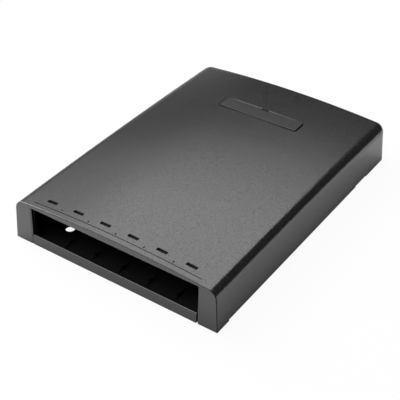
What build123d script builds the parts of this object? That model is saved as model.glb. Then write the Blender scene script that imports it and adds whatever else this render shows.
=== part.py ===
from build123d import *
import math
import os

# Low surface-mount box for six modular jacks: a cover that snaps over a base, a blank plate in the
# cover and two strips of foam tape under the base. Sizes are in millimetres, angles in degrees.
# Seen from the ports, +X is to the right, +Y to the rear and +Z up. The origin is under the middle
# of the box, on the surface that the box stands on.

# Outer form
box_width = 120.0
box_depth = 167.3
box_height = 26.0               # at the crown of the top
crown_rise_across = 2.8         # fall of the top from its middle to a side
crown_rise_along = 1.1          # fall of the top from its middle to the front or the rear
side_draft = 3.6                # each wall leans inwards by its draft
front_draft = 2.4
rear_draft = 2.3
top_edge_radius = 5.2           # along the sides and the rear of the top
rear_corner_radius = 5.8
front_edge_radius = 0.5         # all round the front face
wall = 2.2                      # side and rear walls, measured level
front_wall = 2.4
top_wall = 2.2

# Feet and pry notches along the cover's bottom edge
foot_relief = 0.76              # sides and rear stop short of the surface
front_foot_length = 9.5
pry_notch_length = 12.0
pry_notch_height = 0.6
pry_notch_to_rear = 30.0        # from the notch's middle to the rear of the box

# Ports
port_count = 6
port_pitch = 16.3
fascia_height = 4.0             # from the opening's top to the front edge of the top, at the middle
opening_edge_radius = 1.0       # front edges of the posts and the fascia
sill_height = 5.5
sill_gap = 0.3                  # between the sill's ends and the posts
sill_edge_radius = 0.9

# Windows and label line in the top
window_length = 6.0
window_width = 1.9
window_corner_radius = 0.4
window_to_front = 8.3           # from the front of the box to the windows' middle
label_line_to_front = 4.15
label_line_width = 0.4
label_tick_width = 0.6
label_tick_length = 1.3
label_tick_gap = 0.8            # between the line and its ticks
label_mark_depth = 0.4

# Ribs under the top
bay_rib_thickness = 1.2
bay_rib_length = 12.0
bay_rib_lift = 0.2              # from the top of the opening up to the ribs
stiffener_thickness = 1.2
stiffener_drop = 1.6
stiffener_spacing = 65.0
stiffener_length = 105.0

# Cable knockouts in the rear wall
knockout_width = 14.0
knockout_height = 11.0
knockout_spacing = 60.0
knockout_web = 0.8
rim_gap_margin = 1.0

# Blank plate near the rear of the top
plate_length = 48.0
plate_width = 9.4
plate_thickness = 1.2
plate_to_rear = 36.4            # from the plate's middle to the rear of the box
plate_corner_radius = 1.2
plate_edge_radius = 0.25
plate_end_gap = 0.35
plate_side_gap = 0.2
plate_seat_gap = 0.05
plate_rim_chamfer = 0.35        # round the rim of the plate's recess
plate_notch_length = 4.5
plate_notch_width = 0.8
seat_thickness = 1.2            # under the recess
leg_spacing = 30.0
leg_width = 4.0
leg_thickness = 1.4
leg_reach = 1.5                 # past the underside of the seat
leg_clearance = 0.15

# Base
base_clearance = 0.35           # between the rim and the cover's walls
floor_thickness = 2.0
rim_wall = 1.6
rim_height = 7.0
snap_length = 10.0
snap_radius = 1.0
snap_level = 4.0
snap_clearance = 0.05           # between a snap bump and the cover's wall
snap_spacing = 84.0
bay_guide_thickness = 1.2
bay_guide_rise = 0.8
bay_guide_length = 11.0
bay_peg_radius = 0.9
bay_peg_rise = 2.4
bay_peg_to_front = 8.5

# Fixing holes through the floor
screw_hole_radius = 2.5
screw_spacing_across = 82.2
screw_spacing_along = 130.4
screw_head_radius = 4.6         # of the recess round each hole
screw_head_seat = 1.0           # floor left under the screw's head

# Cable opening, tie bridges and slack fins on the floor
cable_opening_length = 46.0
cable_opening_width = 26.0
cable_opening_radius = 4.0
cable_opening_to_rear = 46.0
tie_bridge_length = 10.0
tie_bridge_width = 3.0
tie_bridge_rise = 4.0
tie_tunnel_length = 5.0
tie_tunnel_rise = 2.2
tie_bridge_spacing = 84.0
slack_ring_radius = 24.0
slack_fin_wall = 1.6
slack_fin_rise = 8.0
slack_fin_angle = 50.0
slack_fin_count = 4
slack_ring_to_front = 63.0

# Foam tape under the base
tape_width = 14.0
tape_length = 88.0
tape_thickness = 0.8
tape_to_side = 22.0             # from a strip's middle to the side of the box
tape_corner_radius = 1.0
tape_clearance = 0.2            # round the tape's edge

# Values that follow from the sizes above
margin = 10.0                   # how far cutting bodies run past what they cut
above = box_height + margin
front_y = -box_depth / 2
rear_y = box_depth / 2
opening_width = port_count * port_pitch
opening_top = box_height - crown_rise_along - fascia_height
window_y = front_y + window_to_front
label_line_y = front_y + label_line_to_front
plate_y = rear_y - plate_to_rear
cable_opening_y = rear_y - cable_opening_to_rear
slack_ring_y = front_y + slack_ring_to_front
leg_places = (-leg_spacing / 2, leg_spacing / 2)
tape_x = box_width / 2 - tape_to_side
bay_centres = [(index - (port_count - 1) / 2) * port_pitch for index in range(port_count)]
bay_borders = [(index - port_count / 2) * port_pitch for index in range(1, port_count)]


def lean(draft, level):
    return level * math.tan(math.radians(draft))


def arc_radius(half_span, rise):
    return (half_span ** 2 + rise ** 2) / (2 * rise)


def crown_level(x, y):
    """Height of the top at a place."""
    across = arc_radius(box_width / 2, crown_rise_across)
    along = arc_radius(box_depth / 2, crown_rise_along)
    fall_across = across - math.sqrt(across ** 2 - x ** 2)
    fall_along = along - math.sqrt(along ** 2 - y ** 2)
    return box_height - fall_across - fall_along


plate_top = crown_level(0, plate_y)
plate_seat = plate_top - plate_thickness - plate_seat_gap


def tapered_block(inset, front_inset, low, high):
    """Body between the leaning walls, moved inwards by the insets, with round rear corners."""
    half_widths = [box_width / 2 - inset - lean(side_draft, level) for level in (low, high)]
    fronts = [front_y + front_inset + lean(front_draft, level) for level in (low, high)]
    rears = [rear_y - inset - lean(rear_draft, level) for level in (low, high)]
    across = trapezium((-half_widths[0], -half_widths[1]), half_widths, low, high)
    along = trapezium(fronts, rears, low, high)
    body = extrude(Plane.XZ * across, box_depth, both=True)
    body &= extrude(Plane.YZ * along, box_width, both=True)
    corner_edges = body.edges().filter_by(lambda edge: abs(edge.center().Z - (low + high) / 2) < 0.01)
    rear_corners = corner_edges.sort_by(lambda edge: edge.center().Y)[-2:]
    return fillet(rear_corners, max(rear_corner_radius - inset, 1.0))


def trapezium(starts, ends, low, high):
    """Face between two levels, from starts to ends at each level."""
    corners = [(starts[0], low), (ends[0], low), (ends[1], high), (starts[1], high)]
    return make_face(Polyline(*corners, close=True))


def crown_section(drop, y):
    """Upright face across the box at y, with the crowned top as its upper edge."""
    reach = box_width / 2 + margin
    middle_level = crown_level(0, y) - drop
    end_level = crown_level(reach, y) - drop
    arc = ThreePointArc((-reach, end_level), (0, middle_level), (reach, end_level))
    sides = Polyline((reach, end_level), (reach, -margin), (-reach, -margin), (-reach, end_level))
    return Pos(0, y, 0) * (Plane.XZ * make_face([arc, sides]))


def crown_body(drop):
    """Everything under the crowned top, lowered by drop."""
    reach = box_depth / 2 + margin
    return loft([crown_section(drop, y) for y in (-reach, 0, reach)])


def crowned_block(inset, front_inset, drop, edge_radius):
    """Leaning walls under a crowned top, with the side and rear edges of the top rounded."""
    body = tapered_block(inset, front_inset, -margin, box_height + margin) & crown_body(drop)
    top_face = body.faces().sort_by(Axis.Z)[-1]
    round_edges = top_face.edges().sort_by(lambda edge: edge.center().Y)[1:]
    return fillet(round_edges, edge_radius)


def slab(low, high, length=3 * box_width, width=3 * box_depth):
    """Level slab between two heights."""
    return Pos(0, 0, low) * extrude(Rectangle(length, width), high - low)


def upright(x, y, length, width, low, high, radius=0.0):
    """Upright bar with a rectangular section, its corners rounded if a radius is given."""
    section = RectangleRounded(length, width, radius) if radius else Rectangle(length, width)
    return Pos(x, y, low) * extrude(section, high - low)


def outer_form():
    """The box's outside, standing on the surface, with a softened front outline."""
    body = crowned_block(0, 0, 0, top_edge_radius) & slab(0, box_height + margin)
    front_face = body.faces().sort_by(Axis.Y)[0]
    outline = front_face.edges().filter_by(lambda edge: edge.center().Z > 1)
    return fillet(outline, front_edge_radius)


def inner_form():
    """The hollow between the cover's walls."""
    return crowned_block(wall, front_wall, top_wall, max(top_edge_radius - wall, 1.0))


def port_opening():
    """Cutting body of the opening between the posts."""
    depth = front_wall + lean(front_draft, opening_top) + margin
    return upright(0, front_y - margin + depth / 2, opening_width, depth, -margin, opening_top)


def bottom_relief():
    """What is taken off the bottom edge of the sides and the rear, pry notches included."""
    start = front_y + front_foot_length
    relief = upright(0, start + box_depth / 2, 2 * box_width, box_depth, -margin, foot_relief)
    notch_y = rear_y - pry_notch_to_rear
    notch = upright(0, notch_y, 2 * box_width, pry_notch_length, -margin, foot_relief + pry_notch_height)
    return relief + notch


def windows():
    """Small rounded windows, one for each port."""
    return [
        upright(x, window_y, window_length, window_width, opening_top, above, window_corner_radius)
        for x in bay_centres
    ]


def label_marks():
    """Fine line along the front of the top, with a tick behind it at each border of two ports."""
    above_cut = slab(0, above) - crown_body(label_mark_depth)
    tick_y = label_line_y + label_tick_gap + label_tick_length / 2
    marks = [upright(0, label_line_y, opening_width, label_line_width, opening_top, above)]
    for x in bay_borders:
        marks.append(upright(x, tick_y, label_tick_width, label_tick_length, opening_top, above))
    return [mark & above_cut for mark in marks]


def plate_recess():
    """Recess of the blank plate, with holes for its legs."""
    length = plate_length + 2 * plate_end_gap
    width = plate_width + 2 * plate_side_gap
    recess = upright(0, plate_y, length, width, plate_seat, above, plate_corner_radius + plate_side_gap)
    for x in leg_places:
        hole_length = leg_width + 2 * leg_clearance
        hole_width = leg_thickness + 2 * leg_clearance
        recess += upright(x, plate_y, hole_length, hole_width, plate_seat - seat_thickness - 1, above)
    return recess


def recess_rear_rim(body):
    """Edge along the rear of the blank plate's recess, in the top."""
    rim_y = plate_y + plate_width / 2 + plate_side_gap
    rims = body.edges().filter_by(lambda edge: abs(edge.center().Y - rim_y) < 0.01)
    return rims.sort_by(lambda edge: edge.center().Z)[-1]


def under_top(bar):
    """Keeps the part of a bar that lies under the top and ends inside its wall."""
    return bar & crown_body(top_wall / 2)


def bay_ribs():
    """Short ribs under the top that keep the jacks apart."""
    ribs = []
    for x in bay_borders:
        y = front_y + front_wall + bay_rib_length / 2
        low = opening_top + bay_rib_lift
        ribs.append(under_top(upright(x, y, bay_rib_thickness, bay_rib_length, low, above)))
    return ribs


def stiffeners():
    """Long ribs that keep the top from bowing."""
    ribs = []
    for side in (-1, 1):
        x = side * stiffener_spacing / 2
        low = crown_level(x, 0) - top_wall - stiffener_drop
        ribs.append(under_top(upright(x, 0, stiffener_thickness, stiffener_length, low, above)))
    return ribs


def plate_seat_pad():
    """Thicker place under the recess of the blank plate."""
    length = plate_length + 2 * plate_end_gap + 2 * seat_thickness
    width = plate_width + 2 * plate_side_gap + 2 * seat_thickness
    return under_top(upright(0, plate_y, length, width, plate_seat - seat_thickness, above))


def knockouts():
    """Pockets that thin the rear wall where a cable way can be broken out."""
    web_face = tapered_block(knockout_web, front_wall, -margin, box_height)
    pockets = []
    for side in (-1, 1):
        x = side * knockout_spacing / 2
        pocket = upright(x, rear_y - wall, knockout_width, 4 * wall, -margin, foot_relief + knockout_height)
        pockets.append(pocket & web_face)
    return pockets


def opening_front_edges(body):
    """The two posts' front edges at the opening, and the fascia's lower front edge."""
    by_depth = body.edges().sort_by(lambda edge: edge.center().Y)
    post_edges = by_depth.filter_by(lambda edge: abs(abs(edge.center().X) - opening_width / 2) < 0.01)
    post_edges = post_edges.filter_by(lambda edge: edge.center().Z > 1)
    fascia_edges = by_depth.filter_by(lambda edge: abs(edge.center().Z - opening_top) < 0.01)
    fascia_edges = fascia_edges.filter_by(lambda edge: abs(edge.center().X) < 1)
    return post_edges[:2] + fascia_edges[:1]


def cover():
    """The whole cover as one moulding."""
    body = outer_form() - inner_form() - port_opening()
    body = fillet(opening_front_edges(body), opening_edge_radius)
    body -= bottom_relief()
    for rib in bay_ribs() + stiffeners() + [plate_seat_pad()]:
        body += rib
    for cut in windows() + label_marks() + knockouts() + [plate_recess()]:
        body -= cut
    return chamfer(recess_rear_rim(body), plate_rim_chamfer)


def blank_plate():
    """Flat snap-in plate with a pry notch in its rear edge and two legs."""
    underside = plate_seat + plate_seat_gap
    body = upright(0, plate_y, plate_length, plate_width, underside, plate_top, plate_corner_radius)
    notch_y = plate_y + plate_width / 2
    body -= upright(0, notch_y, plate_notch_length, 2 * plate_notch_width, plate_seat, above)
    body = fillet(body.faces().sort_by(Axis.Z)[-1].edges(), plate_edge_radius)
    for x in leg_places:
        low = plate_seat - seat_thickness - leg_reach
        body += upright(x, plate_y, leg_width, leg_thickness, low, plate_top - plate_thickness / 2)
    return body


def sill():
    """Low front lip of the base, in line with the posts' front."""
    length = opening_width - 2 * sill_gap
    depth = front_wall
    bar = upright(0, front_y - margin + (depth + margin) / 2, length, depth + margin, 0, sill_height)
    bar &= tapered_block(0, 0, -1, sill_height + 1)
    top_edges = bar.faces().sort_by(Axis.Z)[-1].edges().filter_by(Axis.X).sort_by(Axis.Y)
    return fillet(top_edges[0], sill_edge_radius)


def tray():
    """Floor and rim of the base, open at the front between the posts."""
    side_inset = wall + base_clearance
    front_inset = front_wall + base_clearance
    body = tapered_block(side_inset, front_inset, 0, rim_height)
    body -= tapered_block(side_inset + rim_wall, front_inset + rim_wall, floor_thickness, above)
    length = opening_width - 2 * sill_gap
    body -= upright(0, front_y, length, 4 * front_wall + 4 * rim_wall, floor_thickness, above)
    floor_front = upright(0, front_y + front_wall, length, 2 * front_wall, 0, floor_thickness)
    body += floor_front & tapered_block(0, 0, -1, above)
    gap = knockout_width + 2 * rim_gap_margin
    for side in (-1, 1):
        x = side * knockout_spacing / 2
        body -= upright(x, rear_y - wall, gap, 8 * rim_wall, floor_thickness, above)
    return body


def snap_bumps():
    """Rounded bumps on the rim's sides that hold the cover."""
    rim_face = box_width / 2 - wall - base_clearance - lean(side_draft, snap_level)
    reach = base_clearance - snap_clearance
    bumps = []
    for side in (-1, 1):
        for end in (-1, 1):
            x = side * (rim_face + reach - snap_radius)
            bump = Rot(90, 0, 0) * Cylinder(snap_radius, snap_length)
            bumps.append(Pos(x, end * snap_spacing / 2, snap_level) * bump)
    return bumps


def standing_cylinder(radius, height):
    return Cylinder(radius, height, align=(Align.CENTER, Align.CENTER, Align.MIN))


def bay_guides():
    """Low guides and pegs on the floor between the jacks."""
    pieces = []
    low = floor_thickness / 2
    y = front_y + front_wall + bay_guide_length / 2
    for x in bay_borders:
        top = floor_thickness + bay_guide_rise
        pieces.append(upright(x, y, bay_guide_thickness, bay_guide_length, low, top))
        peg = standing_cylinder(bay_peg_radius, bay_peg_rise + low)
        pieces.append(Pos(x, front_y + bay_peg_to_front, low) * peg)
    return pieces


def tie_bridges():
    """Small bridges that a cable tie passes under."""
    bridges = []
    for side in (-1, 1):
        x = side * tie_bridge_spacing / 2
        y = cable_opening_y
        low = floor_thickness
        bridge = upright(x, y, tie_bridge_length, tie_bridge_width, low / 2, low + tie_bridge_rise)
        bridge -= upright(x, y, tie_tunnel_length, 2 * tie_bridge_width, low, low + tie_tunnel_rise)
        bridges.append(bridge)
    return bridges


def slack_fins():
    """Curved fins that spare cable is wound round."""
    ring = Circle(slack_ring_radius) - Circle(slack_ring_radius - slack_fin_wall)
    sector_reach = 2 * slack_ring_radius
    half = math.radians(slack_fin_angle / 2)
    tip_x = sector_reach * math.cos(half)
    tip_y = sector_reach * math.sin(half)
    sector = make_face(Polyline((0, 0), (tip_x, -tip_y), (tip_x, tip_y), close=True))
    low = floor_thickness / 2
    fin = extrude(ring & sector, slack_fin_rise + low)
    place = Pos(0, slack_ring_y, low)
    turns = [(index + 0.5) * 360 / slack_fin_count for index in range(slack_fin_count)]
    return [place * Rot(0, 0, turn) * fin for turn in turns]


def screw_places():
    across = screw_spacing_across / 2
    along = screw_spacing_along / 2
    return [Pos(x, y) for x in (-across, across) for y in (-along, along)]


def base():
    """The whole base as one moulding."""
    body = tray() + sill()
    for piece in snap_bumps() + bay_guides() + tie_bridges() + slack_fins():
        body += piece
    for place in screw_places():
        body -= place * Cylinder(screw_hole_radius, 2 * above)
        body -= place * Pos(0, 0, screw_head_seat) * standing_cylinder(screw_head_radius, above)
    body -= upright(
        0, cable_opening_y, cable_opening_length, cable_opening_width, -margin, above, cable_opening_radius
    )
    for side in (-1, 1):
        body -= tape_strip(side, tape_clearance)
    return body


def tape_strip(side, clearance):
    """Strip of foam tape, or with a clearance the recess that holds it."""
    length = tape_width + 2 * clearance
    width = tape_length + 2 * clearance
    low = -margin if clearance else 0
    radius = tape_corner_radius + clearance
    return upright(side * tape_x, 0, length, width, low, tape_thickness, radius)


os.makedirs("parts", exist_ok=True)
nodes = {
    "cover": cover(),
    "base": base(),
    "blank_plate": blank_plate(),
    "tape_pad_left": tape_strip(-1, 0),
    "tape_pad_right": tape_strip(1, 0),
}
for name, shape in nodes.items():
    export_step(shape, f"parts/{name}.step")
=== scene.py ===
import math

import bpy
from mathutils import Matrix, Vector

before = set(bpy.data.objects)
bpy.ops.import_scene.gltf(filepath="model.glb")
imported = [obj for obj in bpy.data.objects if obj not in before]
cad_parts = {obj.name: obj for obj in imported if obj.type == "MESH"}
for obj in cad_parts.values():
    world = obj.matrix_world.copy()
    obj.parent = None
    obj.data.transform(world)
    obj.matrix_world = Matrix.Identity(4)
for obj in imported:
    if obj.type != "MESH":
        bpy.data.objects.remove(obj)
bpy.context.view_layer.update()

print("frame loaded:", sorted(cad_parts))


def hexToLinear(hexColor):
    # sRGB hex to the linear values that the shaders take
    channels = [int(hexColor[i:i + 2], 16) / 255 for i in (1, 3, 5)]
    return [c / 12.92 if c <= 0.04045 else ((c + 0.055) / 1.055) ** 2.4 for c in channels] + [1.0]


def perMetre(millimetres):
    # a texture scale that repeats about once in that many millimetres
    return 1000 / millimetres


def addNode(tree, kind, settings=None, links=None, **inputs):
    node = tree.nodes.new(kind)
    for name, value in (settings or {}).items():
        setattr(node, name, value)
    for name, value in inputs.items():
        node.inputs[name.replace("_", " ")].default_value = value
    for name, source in (links or {}).items():
        tree.links.new(source, node.inputs[name])
    return node


def newMaterial(name):
    material = bpy.data.materials.new(name)
    material.use_nodes = True
    material.node_tree.nodes.clear()
    return material, material.node_tree


def combine(tree, operation, *sources):
    # one Math node whose inputs are numbers or sockets
    node = addNode(tree, "ShaderNodeMath", {"operation": operation})
    for socket, source in zip(node.inputs, sources):
        if isinstance(source, (int, float)):
            socket.default_value = source
        else:
            tree.links.new(source, socket)
    return node.outputs[0]


def rise(tree, source, low, high):
    # 0 below low, 1 above high
    node = addNode(tree, "ShaderNodeMapRange", links={"Value": source}, From_Min=low, From_Max=high)
    return node.outputs["Result"]


def axes(tree, vector):
    return addNode(tree, "ShaderNodeSeparateXYZ", links={"Vector": vector}).outputs


# ABS, injection moulded in a spark-eroded mould: near-black, with a fine even grain and a soft sheen
grainedAbs = {
    "color": "#060607",
    "colorWorn": "#202021",
    "roughness": 0.21,
    "roughnessSpread": 0.05,
    "ior": 1.54,
    "specular": 1.0,
    "grainSize": 0.8,             # mm, coarser than the real one so that it shows
    "grainDetail": 2.0,
    "grainContrast": 0.6,
    "grainHeight": 0.00002,
    "speckleRange": (0.35, 0.65), # grain values from the dark colour to the worn one
    "hollowRange": (0.45, 0.7),   # grain values from bright skin to dull hollow
    "cavity": 0.42,               # how dull the grain's hollows are on the top
    "cavityOnWalls": 0.08,
    "wallToTop": (0.3, 0.8),      # upward part of the normal, from walls to top
    "flowSize": 9.0,              # mm, faint mottle left by the melt
    "flowDetail": 3.0,
    "flowHeight": 0.00001,
}

# the same ABS from a polished part of the mould: an even satin
satinAbs = dict(
    grainedAbs,
    color="#0e0e0f",
    colorWorn="#19191a",
    grainHeight=0.000006,
    flowHeight=0.0,
    cavity=0.08,
)

# the same ABS, dull where the mould's core was left as machined, and coloured lighter than the skin:
# painted light that stands in for the light inside the box, so the inner surfaces stay a plain dark grey
paintedLightCoreAbs = {
    "color": "#2c2c2e",
    "colorWorn": "#343436",
    "roughness": 0.75,
    "specular": 0.15,
    "grainSize": 0.8,       # mm
}
# the base's copy is darker, but still painted lighter than its skin to stand in for light inside
paintedLightDarkCoreAbs = dict(paintedLightCoreAbs, color="#171718", colorWorn="#1e1e1f")

# closed-cell foam tape: off-white, matt, with small cells
foamTape = {
    "color": "#d9d8d2",
    "colorDeep": "#bdbbb3",
    "roughness": 0.85,
    "cellSize": 0.35,       # mm
    "cellHeight": 0.00006,
}

# where the pieces' inner surfaces lie, in metres, and how far their normals turn
inside = {
    "crownLevel": 0.026,
    "fallAcross": 0.7762,   # of the crown, per square metre
    "fallAlong": 0.1572,
    "skin": 0.0001,         # cut walls are dull below this depth
    "skinBlend": 0.00008,
    "markDepth": 0.0003,    # floors of the label marks are dull below this depth
    "markBlend": 0.00004,
    "marksEnd": -0.078,
    "windowsEnd": -0.07,
    "reachAcross": 0.053,   # the flat part of the top, between its rounded edges
    "rearEdge": 0.077,
    "frontWall": -0.0812,   # rear face of the front wall
    "inward": -0.015,       # place times normal, below this a wall faces the middle
    "underside": 0.0003,    # the base keeps its finish up to this height
    "rimExtra": 0.00016,    # the rim round the plate keeps the outer finish further down
    "rimExtent": 0.0012,
    "notchReach": 0.0022,   # half the pry notch
    "glossyReach": 0.0225,  # the rim is glossy from the notch to here
    "rimReach": 0.026,
    "plateMiddle": 0.0475,
    "plateReach": 0.0075,
    "wallTurn": 0.5,        # a normal that rises less than this belongs to a wall
    "uprightTurn": 0.4,
    "edgeTurn": 0.3,
    "slopeTurn": 0.93,
}


def insideCover(tree, place, facing):
    # 1 on the cover's inner surfaces, where the core's colour is painted light, on the rim's painted-shade
    # ends and on the dull front edges; 0 on the rest of its outer skin
    x, y, z = axes(tree, place)
    normalX, normalY, normalZ = axes(tree, facing)
    across = combine(tree, "ABSOLUTE", x)
    fallAcross = combine(tree, "MULTIPLY", combine(tree, "MULTIPLY", x, x), inside["fallAcross"])
    fallAlong = combine(tree, "MULTIPLY", combine(tree, "MULTIPLY", y, y), inside["fallAlong"])
    fall = combine(tree, "ADD", fallAcross, fallAlong)
    depth = combine(tree, "SUBTRACT", inside["crownLevel"], combine(tree, "ADD", fall, z))
    steep = combine(tree, "LESS_THAN", normalZ, inside["wallTurn"])
    # the wall behind the plate faces forwards and stays glossy
    behindWindows = combine(tree, "GREATER_THAN", y, inside["windowsEnd"])
    rimWall = combine(tree, "MULTIPLY", behindWindows,
                      combine(tree, "LESS_THAN", normalY, -inside["wallTurn"]))
    steep = combine(tree, "MULTIPLY", steep, combine(tree, "SUBTRACT", 1.0, rimWall))
    belowSkin = rise(tree, depth, inside["skin"], inside["skin"] + inside["skinBlend"])
    cutWalls = combine(tree, "MULTIPLY", steep, belowSkin)
    behindMarks = combine(tree, "GREATER_THAN", y, inside["marksEnd"])
    extra = combine(tree, "MULTIPLY", behindMarks, inside["rimExtra"])
    floorDepth = combine(tree, "SUBTRACT", depth, extra)
    floors = rise(tree, floorDepth, inside["markDepth"], inside["markDepth"] + inside["markBlend"])
    deep = combine(tree, "MAXIMUM", cutWalls, floors)
    underTop = combine(tree, "LESS_THAN", across, inside["reachAcross"])
    beforeRear = combine(tree, "LESS_THAN", y, inside["rearEdge"])
    behindFront = combine(tree, "GREATER_THAN", y, inside["frontWall"])
    underTop = combine(tree, "MULTIPLY", combine(tree, "MULTIPLY", underTop, beforeRear), behindFront)
    outward = combine(tree, "ADD", combine(tree, "MULTIPLY", x, normalX),
                      combine(tree, "MULTIPLY", y, normalY))
    inward = combine(tree, "MULTIPLY", combine(tree, "LESS_THAN", outward, inside["inward"]), behindFront)
    inward = combine(tree, "MULTIPLY", inward, combine(tree, "GREATER_THAN", depth, inside["rimExtent"]))
    # the upright front edges get the dull finish, which shows as a thin dark line
    outwardX = combine(tree, "MULTIPLY", combine(tree, "SIGN", x), normalX)
    edge = combine(tree, "MULTIPLY", combine(tree, "GREATER_THAN", outwardX, inside["edgeTurn"]),
                   combine(tree, "LESS_THAN", normalY, -inside["edgeTurn"]))
    dullFrontEdges = combine(tree, "MULTIPLY", edge, combine(tree, "LESS_THAN", normalZ, inside["uprightTurn"]))
    # painted shade: the plate's rim is dull at its ends and in the pry notch, so these show dark like the
    # shade in the gaps
    glossySpan = combine(tree, "MULTIPLY", combine(tree, "GREATER_THAN", across, inside["notchReach"]),
                         combine(tree, "LESS_THAN", across, inside["glossyReach"]))
    nearPlate = combine(tree, "COMPARE", y, inside["plateMiddle"], inside["plateReach"])
    nearPlate = combine(tree, "MULTIPLY", nearPlate, combine(tree, "LESS_THAN", across, inside["rimReach"]))
    sloping = combine(tree, "MULTIPLY", nearPlate,
                      combine(tree, "LESS_THAN", normalZ, inside["slopeTurn"]))
    paintedShadeRimEnds = combine(tree, "MULTIPLY", sloping, combine(tree, "SUBTRACT", 1.0, glossySpan))
    paintedLightInner = combine(tree, "MAXIMUM", combine(tree, "MULTIPLY", deep, underTop), inward)
    return combine(tree, "MAXIMUM", combine(tree, "MAXIMUM", paintedLightInner, paintedShadeRimEnds), dullFrontEdges)


def insideBase(tree, place, facing):
    # 1 behind the sill and above the underside
    _, y, z = axes(tree, place)
    aboveUnderside = combine(tree, "GREATER_THAN", z, inside["underside"])
    return combine(tree, "MULTIPLY", aboveUnderside, combine(tree, "GREATER_THAN", y, inside["frontWall"]))


def edgesOfPlate(tree, place, facing):
    # 1 on every face of the plate but its top
    return combine(tree, "LESS_THAN", axes(tree, facing)[2], inside["slopeTurn"])


def makeAbs(name, look, paintedLightCore, paintedLightAndShadeMask):
    # the moulded skin, mixed with the dull core finish on inner surfaces and in the grain's hollows; the
    # core is coloured lighter than the skin, painted light that stands in for light inside
    material, tree = newMaterial(name)
    coordinates = addNode(tree, "ShaderNodeTexCoord")
    place = coordinates.outputs["Object"]
    flow = addNode(tree, "ShaderNodeTexNoise", links={"Vector": place},
                   Scale=perMetre(look["flowSize"]), Detail=look["flowDetail"])
    grain = addNode(tree, "ShaderNodeTexNoise", links={"Vector": place},
                    Scale=perMetre(look["grainSize"]), Detail=look["grainDetail"],
                    Roughness=look["grainContrast"])
    speckle = rise(tree, grain.outputs["Fac"], *look["speckleRange"])
    color = addNode(tree, "ShaderNodeMix", {"data_type": "RGBA"}, {"Factor": speckle})
    color.inputs["A"].default_value = hexToLinear(look["color"])
    color.inputs["B"].default_value = hexToLinear(look["colorWorn"])
    gloss = addNode(tree, "ShaderNodeMapRange", links={"Value": grain.outputs["Fac"]})
    gloss.inputs["To Min"].default_value = look["roughness"] - look["roughnessSpread"]
    gloss.inputs["To Max"].default_value = look["roughness"] + look["roughnessSpread"]
    mottle = addNode(tree, "ShaderNodeBump", links={"Height": flow.outputs["Fac"]},
                     Strength=1.0, Distance=look["flowHeight"])
    bump = addNode(tree, "ShaderNodeBump",
                   links={"Height": grain.outputs["Fac"], "Normal": mottle.outputs["Normal"]},
                   Strength=1.0, Distance=look["grainHeight"])
    outer = addNode(tree, "ShaderNodeBsdfPrincipled",
                    links={"Base Color": color.outputs["Result"], "Roughness": gloss.outputs["Result"],
                           "Normal": bump.outputs["Normal"]},
                    IOR=look["ior"], Specular_IOR_Level=look["specular"])

    # the core finish, whose lighter colour is painted light on the inner surfaces
    coreGrain = addNode(tree, "ShaderNodeTexNoise", links={"Vector": place},
                        Scale=perMetre(paintedLightCore["grainSize"]))
    paintedLightCoreColor = addNode(tree, "ShaderNodeMix", {"data_type": "RGBA"}, {"Factor": coreGrain.outputs["Fac"]})
    paintedLightCoreColor.inputs["A"].default_value = hexToLinear(paintedLightCore["color"])
    paintedLightCoreColor.inputs["B"].default_value = hexToLinear(paintedLightCore["colorWorn"])
    paintedLightInner = addNode(tree, "ShaderNodeBsdfPrincipled", links={"Base Color": paintedLightCoreColor.outputs["Result"]},
                    Roughness=paintedLightCore["roughness"], IOR=look["ior"], Specular_IOR_Level=paintedLightCore["specular"])
    facing = coordinates.outputs["Normal"]
    # the walls are smoother than the top
    coarse = addNode(tree, "ShaderNodeMapRange", links={"Value": axes(tree, facing)[2]},
                     From_Min=look["wallToTop"][0], From_Max=look["wallToTop"][1])
    coarse.inputs["To Min"].default_value = look["cavityOnWalls"]
    coarse.inputs["To Max"].default_value = look["cavity"]
    hollows = combine(tree, "MULTIPLY", rise(tree, grain.outputs["Fac"], *look["hollowRange"]),
                      coarse.outputs["Result"])
    mask = combine(tree, "MAXIMUM", paintedLightAndShadeMask(tree, place, facing), hollows)
    mixed = addNode(tree, "ShaderNodeMixShader", links={"Fac": mask})
    tree.links.new(outer.outputs["BSDF"], mixed.inputs[1])
    tree.links.new(paintedLightInner.outputs["BSDF"], mixed.inputs[2])
    addNode(tree, "ShaderNodeOutputMaterial", links={"Surface": mixed.outputs[0]})
    return material


def makeFoam(name, look):
    material, tree = newMaterial(name)
    place = addNode(tree, "ShaderNodeTexCoord").outputs["Object"]
    cells = addNode(tree, "ShaderNodeTexVoronoi", links={"Vector": place}, Scale=perMetre(look["cellSize"]))
    color = addNode(tree, "ShaderNodeMix", {"data_type": "RGBA"}, {"Factor": cells.outputs["Distance"]})
    color.inputs["A"].default_value = hexToLinear(look["colorDeep"])
    color.inputs["B"].default_value = hexToLinear(look["color"])
    bump = addNode(tree, "ShaderNodeBump", links={"Height": cells.outputs["Distance"]},
                   Strength=1.0, Distance=look["cellHeight"])
    shader = addNode(tree, "ShaderNodeBsdfPrincipled",
                     links={"Base Color": color.outputs["Result"], "Normal": bump.outputs["Normal"]},
                     Roughness=look["roughness"])
    addNode(tree, "ShaderNodeOutputMaterial", links={"Surface": shader.outputs["BSDF"]})
    return material


def giveMaterial(node, material):
    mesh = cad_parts[node].data
    mesh.materials.clear()
    mesh.materials.append(material)


foam = makeFoam("foamTape", foamTape)
giveMaterial("cover", makeAbs("grainedAbs", grainedAbs, paintedLightCoreAbs, insideCover))
giveMaterial("base", makeAbs("satinAbs", satinAbs, paintedLightDarkCoreAbs, insideBase))
giveMaterial("blank_plate", makeAbs("grainedAbsPlate", grainedAbs, paintedLightCoreAbs, edgesOfPlate))
giveMaterial("tape_pad_left", foam)
giveMaterial("tape_pad_right", foam)
print("materials given")


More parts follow.
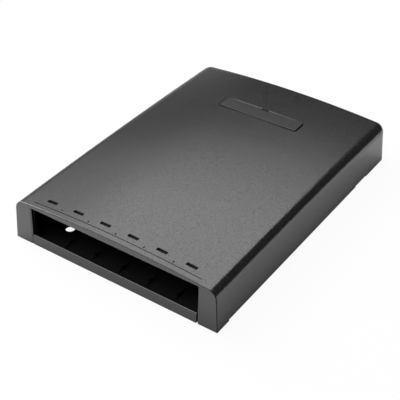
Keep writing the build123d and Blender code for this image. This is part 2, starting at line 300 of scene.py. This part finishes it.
# camera, front right and above, angles in degrees
viewPoint = {
    "place": (0.22546, -0.33480, 0.29969),
    "azimuth": 34.81,
    "tilt": 36.95,
    "roll": -0.083,
    "lens": 85.95,
    "sensor": 36,
    "nearest": 0.01,
}
bpy.ops.object.camera_add(location=viewPoint["place"])
camera = bpy.context.object
camera.rotation_euler = (math.radians(90 - viewPoint["tilt"]), 0, math.radians(viewPoint["azimuth"]))
camera.rotation_euler.rotate_axis("Z", math.radians(viewPoint["roll"]))
camera.data.lens = viewPoint["lens"]
camera.data.sensor_width = viewPoint["sensor"]
camera.data.clip_start = viewPoint["nearest"]
bpy.context.scene.camera = camera
print("camera set")


# a small paper table in a white room, which reflections see dark, so that the fillets stay dark
room = {
    "tableSize": 0.62,
    "tableGap": 0.0001,     # keeps the table's plane clear of the underside
    "tableColor": "#f2f2f2",
    "tableWhite": 0.94,     # share of plain white in what is seen, the rest holds the shadow
    "tableInGloss": 0.04,   # the same share in reflections
    "fadeStart": 0.15,      # from here the shadow fades out
    "fadeEnd": 0.3,
    "ambient": 0.05,        # the room's light on the object
    "ambientInGloss": 0.08,
}

# lamps, in metres: the overhead ones make the soft highlight of the top and fade towards its
# left and rear, the key throws the shadow, and the fills light the edges and the front
lamps = {
    "overhead": {
        "place": (-0.34, 0.01, 0.9),
        "aim": (-0.34, 0.01, 0),
        "size": (1.04, 1.78),
        "radiance": 2.07,
    },
    "overheadLeft": {
        "place": (-1.09, 0.11, 0.9),
        "aim": (-1.09, 0.11, 0),
        "size": (0.46, 1.98),
        "radiance": 0.9,
    },
    "overheadRear": {
        "place": (-0.48, 1.02, 0.9),
        "aim": (-0.48, 1.02, 0),
        "size": (0.76, 0.24),
        "radiance": 1.35,
    },
    "leftKey": {
        "place": (-1.07, 0.07, 0.69),
        "aim": (0, 0, 0),
        "size": (0.86, 0.68),
        "radiance": 6.4,
    },
    "rearLeftFill": {
        "place": (-0.96, 1.18, 0.4),
        "aim": (0, 0, 0),
        "size": (0.42, 0.28),
        "radiance": 1.15,
    },
    "leftEdgeFill": {
        "place": (-1.26, 0.85, 0.27),
        "aim": (0, 0, 0),
        "size": (0.42, 0.3),
        "radiance": 0.5,
    },
    "frontFill": {
        "place": (-0.75, -1.0, 0.42),
        "aim": (0, 0, 0),
        "size": (1.0, 0.7),
        "radiance": 0.6,
    },
}


def bySight(tree, direct, inGloss, otherwise):
    # direct for camera and transmission rays, inGloss for glossy rays, otherwise for the rest
    light = addNode(tree, "ShaderNodeLightPath")
    through = combine(tree, "MAXIMUM", light.outputs["Is Camera Ray"], light.outputs["Is Transmission Ray"])
    seen = combine(tree, "MULTIPLY", through, direct)
    glossy = combine(tree, "MULTIPLY", light.outputs["Is Glossy Ray"], inGloss)
    return combine(tree, "MAXIMUM", combine(tree, "ADD", seen, glossy), otherwise)


def makeTable():
    bpy.ops.mesh.primitive_plane_add(size=room["tableSize"], location=(0, 0, -room["tableGap"]))
    table = bpy.context.object
    table.name = "table"
    material, tree = newMaterial("paperTable")
    lit = addNode(tree, "ShaderNodeBsdfDiffuse", Color=hexToLinear(room["tableColor"]))
    glow = addNode(tree, "ShaderNodeEmission", Color=(1, 1, 1, 1), Strength=1.0)
    # the shadow fades out before the table's edge
    place = addNode(tree, "ShaderNodeTexCoord").outputs["Object"]
    distance = addNode(tree, "ShaderNodeVectorMath", {"operation": "LENGTH"})
    tree.links.new(place, distance.inputs[0])
    white = addNode(tree, "ShaderNodeMapRange", links={"Value": distance.outputs["Value"]},
                    From_Min=room["fadeStart"], From_Max=room["fadeEnd"], To_Min=room["tableWhite"])
    share = bySight(tree, white.outputs["Result"], room["tableInGloss"], 0.0)
    mixed = addNode(tree, "ShaderNodeMixShader", links={"Fac": share})
    tree.links.new(lit.outputs[0], mixed.inputs[1])
    tree.links.new(glow.outputs[0], mixed.inputs[2])
    addNode(tree, "ShaderNodeOutputMaterial", links={"Surface": mixed.outputs[0]})
    table.data.materials.append(material)


def makeWorld():
    world = bpy.data.worlds.new("room")
    world.use_nodes = True
    tree = world.node_tree
    tree.nodes.clear()
    strength = bySight(tree, 1.0, room["ambientInGloss"], room["ambient"])
    background = addNode(tree, "ShaderNodeBackground", links={"Strength": strength}, Color=(1, 1, 1, 1))
    addNode(tree, "ShaderNodeOutputWorld", links={"Surface": background.outputs[0]})
    bpy.context.scene.world = world


def addSoftbox(name, look):
    # an area lamp whose power gives that radiance on its face
    width, length = look["size"]
    bpy.ops.object.light_add(type="AREA", location=look["place"])
    lamp = bpy.context.object
    lamp.name = name
    lamp.data.shape = "RECTANGLE"
    lamp.data.size = width
    lamp.data.size_y = length
    lamp.data.energy = look["radiance"] * math.pi * width * length
    away = lamp.location - Vector(look["aim"])
    lamp.rotation_euler = away.to_track_quat("Z", "Y").to_euler()


makeTable()
makeWorld()
for name, look in lamps.items():
    addSoftbox(name, look)
print("room and lamps made")

bpy.context.scene.view_settings.view_transform = "Standard"
